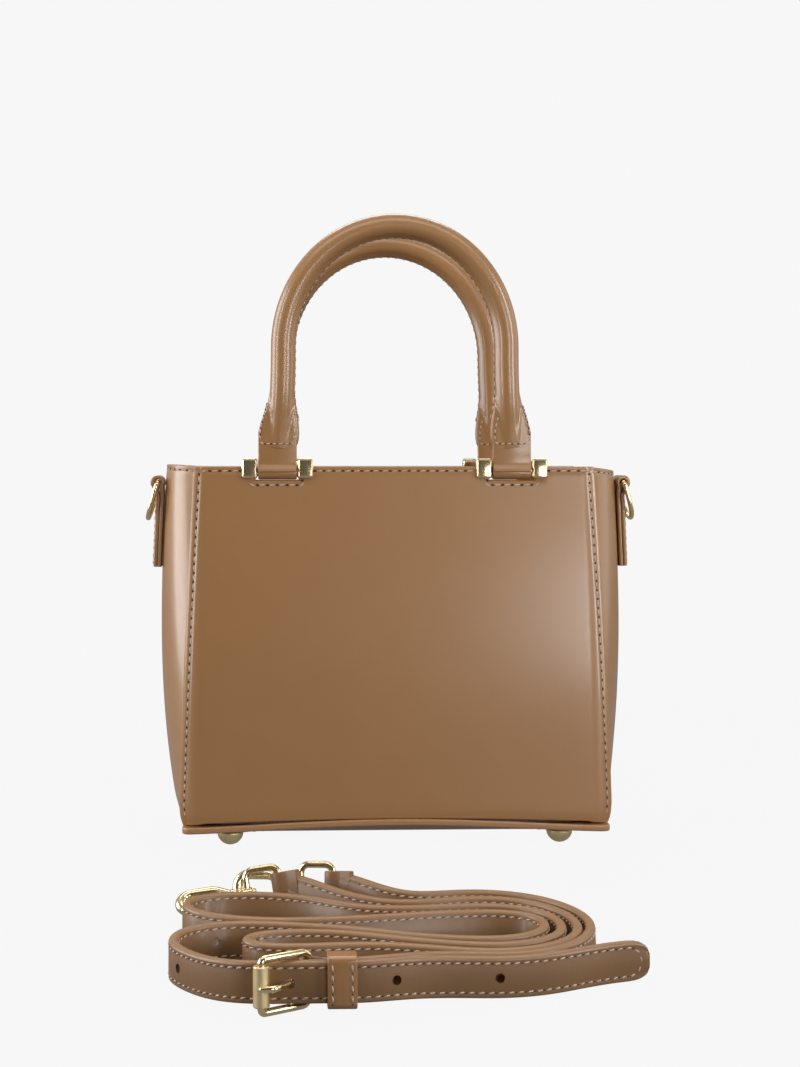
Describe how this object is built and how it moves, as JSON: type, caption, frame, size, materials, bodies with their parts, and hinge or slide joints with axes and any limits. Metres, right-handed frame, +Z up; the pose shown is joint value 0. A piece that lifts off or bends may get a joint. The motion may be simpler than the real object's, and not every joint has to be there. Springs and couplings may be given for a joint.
{
  "type": "mini handbag with shoulder strap",
  "caption": "Small structured leather handbag with rolled top handles, D rings and a detachable adjustable shoulder strap.",
  "frame": {"origin": "on the floor under the middle of the bag", "axes": "+X to the bag's right as seen from the front, -Y is the front, +Z up"},
  "size_m": [0.2434, 0.3434, 0.3018],
  "materials": {
    "tan_leather": "smooth semi-gloss",
    "lining_cloth": "woven matte",
    "base_board_card": "cloth-covered stiff board",
    "gold_metal": "polished pale gold"
  },
  "bodies": {
    "bag": {"front_panel": "tan_leather", "back_panel": "tan_leather", "left_gusset": "tan_leather", "right_gusset": "tan_leather", "base_panel": "tan_leather", "base_board": "base_board_card", "lining": "lining_cloth", "slip_pocket": "lining_cloth", "snap_socket": "gold_metal", "snap_stud": "gold_metal", "foot_front_left": "gold_metal", "foot_front_right": "gold_metal", "foot_back_left": "gold_metal", "foot_back_right": "gold_metal", "bracket_front_left": "gold_metal", "bracket_front_right": "gold_metal", "bracket_back_left": "gold_metal", "bracket_back_right": "gold_metal", "side_tab_left": "tan_leather", "side_tab_right": "tan_leather"},
    "front_handle": {"front_handle_grip": "tan_leather", "front_handle_tab_left": "tan_leather", "front_handle_tab_right": "tan_leather"},
    "back_handle": {"back_handle_grip": "tan_leather", "back_handle_tab_left": "tan_leather", "back_handle_tab_right": "tan_leather"},
    "left_ring": {"left_d_ring": "gold_metal"},
    "right_ring": {"right_d_ring": "gold_metal"},
    "strap": {"strap_long": "tan_leather", "strap_short": "tan_leather", "strap_keeper": "tan_leather", "buckle_frame": "gold_metal", "hook_a_link": "gold_metal", "hook_b_link": "gold_metal"},
    "roller": {"buckle_roller": "gold_metal"},
    "prong": {"buckle_prong": "gold_metal"},
    "hook_a": {"hook_a_body": "gold_metal"},
    "gate_a": {"hook_a_gate": "gold_metal"},
    "hook_b": {"hook_b_body": "gold_metal"},
    "gate_b": {"hook_b_gate": "gold_metal"}
  },
  "joints": [
    {"name": "front_handle_swing", "type": "hinge", "parent": "bag", "child": "front_handle", "pos_m": [0, -0.02816, 0.1778], "axis": [1, 0, 0], "range_deg": [-10, 120]},
    {"name": "back_handle_swing", "type": "hinge", "parent": "bag", "child": "back_handle", "pos_m": [0, 0.02816, 0.1778], "axis": [-1, 0, 0], "range_deg": [-17, 113]},
    {"name": "left_ring_swing", "type": "hinge", "parent": "bag", "child": "left_ring", "pos_m": [-0.11544, 0, 0.173], "axis": [0, 1, 0], "range_deg": [-4, 150]},
    {"name": "right_ring_swing", "type": "hinge", "parent": "bag", "child": "right_ring", "pos_m": [0.11544, 0, 0.173], "axis": [0, -1, 0], "range_deg": [-4, 150]},
    {"name": "strap_lift", "type": "slide", "parent": "bag", "child": "strap", "axis": [0, 0, 1], "range_m": [0, 0.1]},
    {"name": "roller_spin", "type": "hinge", "parent": "strap", "child": "roller", "pos_m": [-0.06335, -0.28897, 0.01089], "axis": [-0.0021, 0.0697, 0.9976], "continuous": true},
    {"name": "prong_rock", "type": "hinge", "parent": "strap", "child": "prong", "pos_m": [-0.04731, -0.27701, 0.01009], "axis": [-0.0021, 0.0697, 0.9976], "range_deg": [0, 4]},
    {"name": "hook_a_swivel", "type": "hinge", "parent": "strap", "child": "hook_a", "pos_m": [-0.056, -0.167, 0.01176], "axis": [-0.9881, -0.075, -0.134], "continuous": true},
    {"name": "gate_a_open", "type": "hinge", "parent": "hook_a", "child": "gate_a", "pos_m": [-0.07788, -0.17266, 0.00689], "axis": [0.0894, 0.4286, -0.8991], "range_deg": [0, 24], "stiffness_Nm_per_rad": 0.01},
    {"name": "hook_b_swivel", "type": "hinge", "parent": "strap", "child": "hook_b", "pos_m": [-0.035, -0.163, 0.01106], "axis": [-0.9533, 0.2971, -0.055], "continuous": true},
    {"name": "gate_b_open", "type": "hinge", "parent": "hook_b", "child": "gate_b", "pos_m": [-0.05708, -0.15838, 0.00598], "axis": [0.2852, 0.8245, -0.4888], "range_deg": [0, 24], "stiffness_Nm_per_rad": 0.01}
  ]
}
